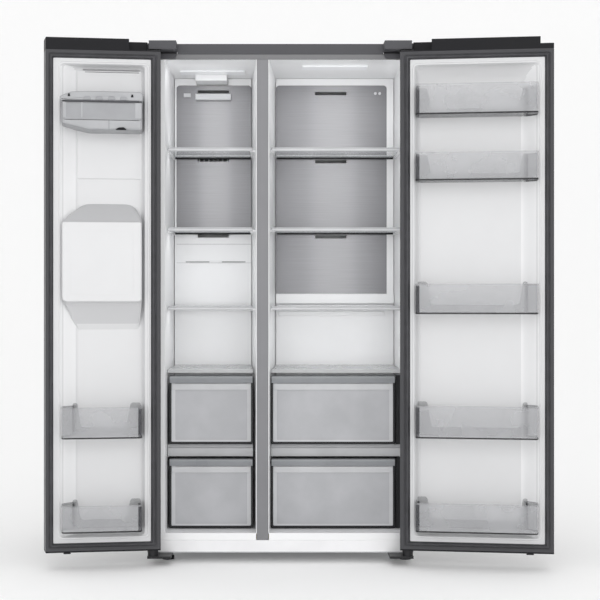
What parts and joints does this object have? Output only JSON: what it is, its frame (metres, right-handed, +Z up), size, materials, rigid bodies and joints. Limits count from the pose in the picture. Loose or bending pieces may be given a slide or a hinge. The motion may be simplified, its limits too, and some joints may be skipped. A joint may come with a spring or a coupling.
{
  "type": "side by side refrigerator",
  "caption": "Tall two-door refrigerator, freezer left and fridge right, both doors open on glass shelves, drawers and door bins.",
  "frame": {"origin": "on the floor, under the middle of the cabinet's front edge", "axes": "+X to the viewer's right, +Y back into the cabinet, +Z up"},
  "size_m": [1.7186, 0.8452, 1.778],
  "materials": {
    "steel_dark": "satin",
    "steel_plain": "satin",
    "liner_white": "satin",
    "foam": "matte",
    "divider_grey": "satin",
    "white_metal": "satin",
    "cover_grey": "matte",
    "black_metal": "satin",
    "black_plastic": "matte",
    "brushed_panel": "satin",
    "white_plastic": "satin",
    "lamp_lens": "satin",
    "shelf_glass": "gloss",
    "trim_plastic": "satin",
    "clear_plastic": "gloss",
    "compressor_black": "satin",
    "coil_metal": "satin",
    "gasket_grey": "matte",
    "door_skin": "satin"
  },
  "bodies": {
    "cabinet": {"case_shell": "steel_dark", "rear_panel": "steel_plain", "base_tray": "steel_plain", "freezer_liner": "liner_white", "fridge_liner": "liner_white", "foam_insulation": "foam", "mullion_cover": "divider_grey", "front_sill": "white_metal", "top_cover": "cover_grey", "hinge_covers": "cover_grey", "top_hinges": "black_metal", "bottom_hinges": "black_metal", "front_feet": "black_plastic", "freezer_back_panel": "brushed_panel", "fridge_back_panel": "brushed_panel", "lower_back_panels": "white_plastic", "air_vents": "white_plastic", "ceiling_lamps": "lamp_lens", "freezer_shelf_1": "shelf_glass", "freezer_shelf_2": "shelf_glass", "freezer_shelf_3": "shelf_glass", "fridge_shelf_1": "shelf_glass", "fridge_shelf_2": "shelf_glass", "fridge_shelf_3": "shelf_glass", "shelf_trims": "trim_plastic", "drawer_covers": "clear_plastic", "drawer_dividers": "clear_plastic", "compressor": "compressor_black", "condenser": "coil_metal", "fan_shrouds": "black_plastic", "evaporators": "coil_metal", "drain_pan": "black_plastic", "control_box": "white_plastic", "machine_cover": "steel_plain", "water_valve": "white_plastic", "cord_gland": "black_plastic"},
    "freezer_drawer_upper": {"freezer_drawer_upper": "clear_plastic"},
    "freezer_drawer_lower": {"freezer_drawer_lower": "clear_plastic"},
    "fridge_drawer_upper": {"fridge_drawer_upper": "clear_plastic"},
    "fridge_drawer_lower": {"fridge_drawer_lower": "clear_plastic"},
    "roller_left": {"rear_roller_left": "black_plastic"},
    "roller_right": {"rear_roller_right": "black_plastic"},
    "condenser_fan": {"condenser_fan": "white_plastic"},
    "freezer_fan": {"freezer_fan": "white_plastic"},
    "fridge_fan": {"fridge_fan": "white_plastic"},
    "left_door": {"left_door_skin": "door_skin", "left_door_liner": "liner_white", "left_door_foam": "foam", "left_gasket": "gasket_grey", "left_door_caps": "black_plastic", "dispenser_housing": "white_plastic", "ice_bin": "clear_plastic", "left_door_bins": "clear_plastic"},
    "paddle": {"dispenser_paddle": "black_plastic"},
    "right_door": {"right_door_skin": "door_skin", "right_door_liner": "liner_white", "right_door_foam": "foam", "right_gasket": "gasket_grey", "right_door_caps": "black_plastic", "right_door_bins": "clear_plastic"}
  },
  "joints": [
    {"name": "left_door_hinge", "type": "hinge", "parent": "cabinet", "child": "left_door", "pos_m": [-0.432, -0.051, 0.9], "axis": [0, 0, -1], "range_deg": [-172, 0]},
    {"name": "right_door_hinge", "type": "hinge", "parent": "cabinet", "child": "right_door", "pos_m": [0.432, -0.051, 0.9], "axis": [0, 0, 1], "range_deg": [-172, 0]},
    {"name": "freezer_drawer_upper_slide", "type": "slide", "parent": "cabinet", "child": "freezer_drawer_upper", "axis": [0, -1, 0], "range_m": [0, 0.24]},
    {"name": "freezer_drawer_lower_slide", "type": "slide", "parent": "cabinet", "child": "freezer_drawer_lower", "axis": [0, -1, 0], "range_m": [0, 0.24]},
    {"name": "fridge_drawer_upper_slide", "type": "slide", "parent": "cabinet", "child": "fridge_drawer_upper", "axis": [0, -1, 0], "range_m": [0, 0.24]},
    {"name": "fridge_drawer_lower_slide", "type": "slide", "parent": "cabinet", "child": "fridge_drawer_lower", "axis": [0, -1, 0], "range_m": [0, 0.24]},
    {"name": "roller_left_turn", "type": "hinge", "parent": "cabinet", "child": "roller_left", "pos_m": [-0.4, 0.56, 0.02], "axis": [1, 0, 0], "continuous": true},
    {"name": "roller_right_turn", "type": "hinge", "parent": "cabinet", "child": "roller_right", "pos_m": [0.4, 0.56, 0.02], "axis": [1, 0, 0], "continuous": true},
    {"name": "condenser_fan_turn", "type": "hinge", "parent": "cabinet", "child": "condenser_fan", "pos_m": [-0.15, 0.505, 0.125], "axis": [1, 0, 0], "continuous": true},
    {"name": "freezer_fan_turn", "type": "hinge", "parent": "cabinet", "child": "freezer_fan", "pos_m": [-0.25, 0.455, 1.56], "axis": [0, 1, 0], "continuous": true},
    {"name": "fridge_fan_turn", "type": "hinge", "parent": "cabinet", "child": "fridge_fan", "pos_m": [0.188, 0.455, 1.56], "axis": [0, 1, 0], "continuous": true},
    {"name": "paddle_push", "type": "hinge", "parent": "left_door", "child": "paddle", "pos_m": [-0.5943, -0.08896, 1.16], "axis": [-0.9903, -0.1392, 0], "range_deg": [0, 3], "stiffness_Nm_per_rad": 0.6, "springref_deg": -5.73}
  ]
}
